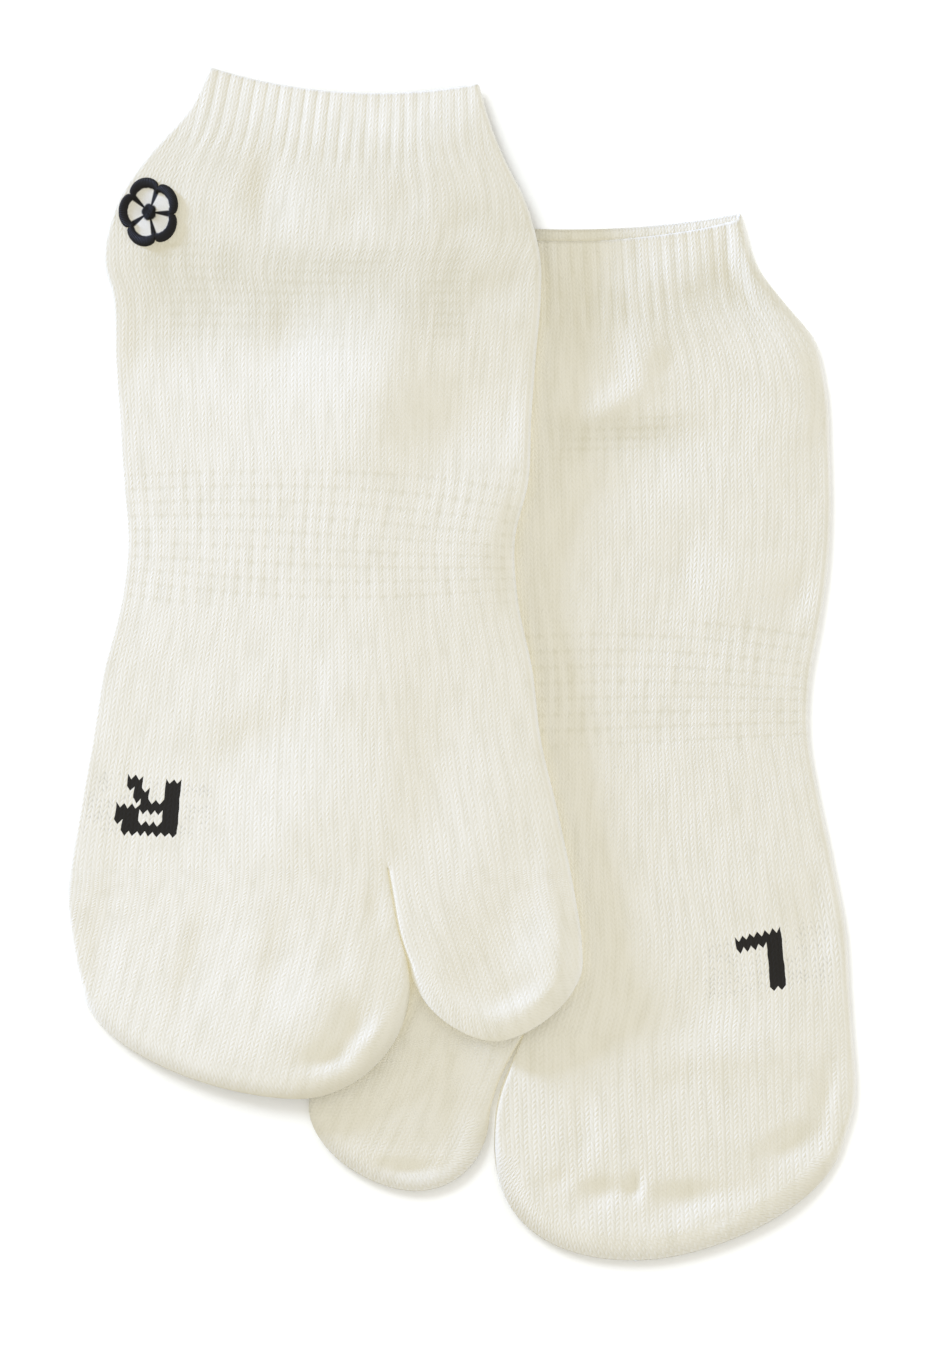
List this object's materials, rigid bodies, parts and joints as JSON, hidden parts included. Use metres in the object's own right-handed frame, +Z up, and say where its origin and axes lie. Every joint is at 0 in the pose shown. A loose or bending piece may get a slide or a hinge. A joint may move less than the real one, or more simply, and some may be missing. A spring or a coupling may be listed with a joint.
{
  "type": "pair of tabi ankle socks",
  "caption": "Pair of split-toe ankle socks laid flat, the right one lying partly over the left, with ribbed cuffs and a small embroidered blossom at the ankle.",
  "frame": {"origin": "on the surface the socks lie on, below the middle of the pair", "axes": "+Z up, away from the surface; +Y from the toes towards the cuffs; +X from the right sock to the left sock"},
  "size_m": [0.19, 0.2862, 0.0075],
  "materials": {
    "knitted_cloth": "off-white plain knit with a ribbed cuff and arch band, matt and slightly hairy",
    "embroidery_thread": "black and white satin-stitched thread with a soft sheen"
  },
  "bodies": {
    "root": {"sock_left": "knitted_cloth", "sock_right": "knitted_cloth", "emblem": "embroidery_thread"}
  },
  "joints": []
}
